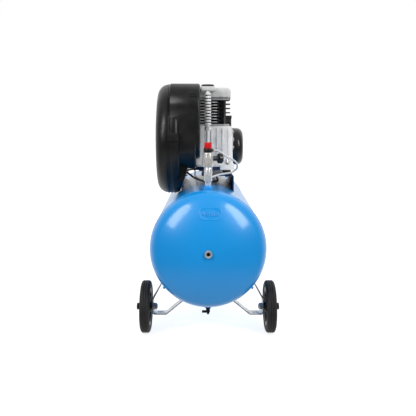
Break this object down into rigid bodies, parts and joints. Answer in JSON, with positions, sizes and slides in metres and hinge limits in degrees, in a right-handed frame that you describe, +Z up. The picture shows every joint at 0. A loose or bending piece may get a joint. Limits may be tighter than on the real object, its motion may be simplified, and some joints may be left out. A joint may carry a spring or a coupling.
{
  "type": "air compressor",
  "caption": "Belt-driven piston air compressor on a horizontal receiver with transport wheels, rubber feet, belt guard and push handle.",
  "frame": {"origin": "on the floor, under the middle of the machine's bounding box", "axes": "+X across the receiver to the motor-fan side, +Y along the receiver from the wheeled end to the handle end, +Z up"},
  "size_m": [0.574, 1.4528, 1.016],
  "materials": {
    "tank_blue": "glossy sky-blue enamel",
    "deck_blue": "glossy dark blue enamel",
    "zinc_steel": "bright zinc plate",
    "nickel_brass": "nickel-plated brass",
    "bearing_steel": "ground steel",
    "cast_aluminium": "die-cast, lightly blasted",
    "black_iron": "black-painted casting",
    "copper_winding": "varnished copper",
    "black_steel": "satin black enamel",
    "black_plastic": "moulded black",
    "rubber": "matt black",
    "tyre": "matt black",
    "red_plastic": "glossy red",
    "white_tube": "translucent white"
  },
  "bodies": {
    "frame": {"air_filter": "black_plastic", "axle_bolts": "zinc_steel", "bearings": "bearing_steel", "bleed_tube": "white_tube", "check_valve_body": "nickel_brass", "crankcase": "cast_aluminium", "crankcase_cover": "cast_aluminium", "cylinder_block": "black_iron", "cylinder_head": "cast_aluminium", "deck_plate": "deck_blue", "delivery_elbow": "cast_aluminium", "delivery_pipe": "cast_aluminium", "drain_valve": "black_plastic", "drive_belt": "rubber", "fan_cowl": "black_steel", "frame_bolts": "zinc_steel", "gauge_case": "black_steel", "guard_inner": "black_plastic", "guard_latches": "black_plastic", "guard_outer": "black_plastic", "motor_cable": "rubber", "motor_end_shields": "cast_aluminium", "motor_frame": "cast_aluminium", "motor_stator": "copper_winding", "outlet_regulator": "nickel_brass", "pipe_nuts": "zinc_steel", "pressure_switch": "black_plastic", "pump_bolts": "zinc_steel", "push_handle": "zinc_steel", "riser_pipe": "zinc_steel", "rubber_feet": "rubber", "rubber_mounts": "rubber", "safety_valve_body": "black_plastic", "support_brackets": "zinc_steel", "tank_barrel": "tank_blue", "tank_bosses": "tank_blue", "tank_ends": "tank_blue", "tank_plugs": "nickel_brass", "terminal_box": "black_steel", "valve_plate": "bearing_steel"},
    "crank": {"crankshaft": "bearing_steel", "flywheel": "black_iron"},
    "motor_shaft": {"motor_rotor": "bearing_steel", "motor_pulley": "black_iron", "cooling_fan": "black_plastic"},
    "con_rod_low": {"con_rod_low": "bearing_steel"},
    "con_rod_high": {"con_rod_high": "bearing_steel"},
    "piston_low": {"piston_low": "cast_aluminium"},
    "piston_high": {"piston_high": "cast_aluminium"},
    "wheel_left": {"wheel_rim_left": "black_plastic", "tyre_left": "tyre"},
    "wheel_right": {"wheel_rim_right": "black_plastic", "tyre_right": "tyre"},
    "safety_cap": {"safety_cap": "red_plastic"},
    "drain_lever": {"drain_lever": "black_plastic"},
    "gauge_needle": {"gauge_needle": "red_plastic"},
    "switch_knob": {"switch_knob": "red_plastic"},
    "regulator_knob": {"regulator_knob": "black_plastic"},
    "outlet_lever": {"outlet_lever": "red_plastic"},
    "oil_filler_cap": {"oil_filler_cap": "black_plastic"}
  },
  "joints": [
    {"name": "crank_spin", "type": "hinge", "parent": "frame", "child": "crank", "pos_m": [-0.15, -0.28364, 0.772], "axis": [1, 0, 0], "continuous": true},
    {"name": "motor_spin", "type": "hinge", "parent": "frame", "child": "motor_shaft", "pos_m": [-0.15, 0.07636, 0.733], "axis": [1, 0, 0], "continuous": true},
    {"name": "con_rod_low_pin", "type": "hinge", "parent": "crank", "child": "con_rod_low", "pos_m": [-0.032, -0.30164, 0.772], "axis": [1, 0, 0], "continuous": true},
    {"name": "con_rod_high_pin", "type": "hinge", "parent": "crank", "child": "con_rod_high", "pos_m": [0.043, -0.26564, 0.772], "axis": [1, 0, 0], "continuous": true},
    {"name": "piston_low_stroke", "type": "slide", "parent": "frame", "child": "piston_low", "axis": [0, 0, 1], "range_m": [-0.018, 0.018]},
    {"name": "piston_high_stroke", "type": "slide", "parent": "frame", "child": "piston_high", "axis": [0, 0, 1], "range_m": [-0.018, 0.018]},
    {"name": "wheel_left_roll", "type": "hinge", "parent": "frame", "child": "wheel_left", "pos_m": [-0.2495, -0.51364, 0.102], "axis": [1, 0, 0], "continuous": true},
    {"name": "wheel_right_roll", "type": "hinge", "parent": "frame", "child": "wheel_right", "pos_m": [0.2495, -0.51364, 0.102], "axis": [1, 0, 0], "continuous": true},
    {"name": "safety_cap_lift", "type": "slide", "parent": "frame", "child": "safety_cap", "axis": [0, 0, 1], "range_m": [0, 0.004], "stiffness_N_per_m": 800, "springref_m": -0.002},
    {"name": "drain_lever_turn", "type": "hinge", "parent": "frame", "child": "drain_lever", "pos_m": [0, -0.57804, 0.101], "axis": [0, -1, 0], "range_deg": [0, 90]},
    {"name": "gauge_needle_sweep", "type": "hinge", "parent": "frame", "child": "gauge_needle", "pos_m": [0.04886, -0.55085, 0.702], "axis": [-0.9397, -0.342, 0], "range_deg": [0, 270], "stiffness_Nm_per_rad": 0.0002},
    {"name": "switch_knob_pull", "type": "slide", "parent": "frame", "child": "switch_knob", "axis": [0, 0, 1], "range_m": [0, 0.006]},
    {"name": "regulator_knob_turn", "type": "hinge", "parent": "frame", "child": "regulator_knob", "pos_m": [0.062, 0.37136, 0.65], "axis": [0, 0, 1], "range_deg": [0, 350]},
    {"name": "outlet_lever_turn", "type": "hinge", "parent": "frame", "child": "outlet_lever", "pos_m": [0.114, 0.37136, 0.646], "axis": [0, 0, 1], "range_deg": [0, 90]},
    {"name": "oil_filler_cap_pull", "type": "slide", "parent": "frame", "child": "oil_filler_cap", "axis": [0, 1, 0], "range_m": [0, 0.03]}
  ],
  "couplings": [
    {"joint": "motor_spin", "follows": "crank_spin", "ratio": 3.9556},
    {"joint": "con_rod_low_pin", "follows": "crank_spin", "ratio": -1},
    {"joint": "con_rod_high_pin", "follows": "crank_spin", "ratio": -1}
  ]
}
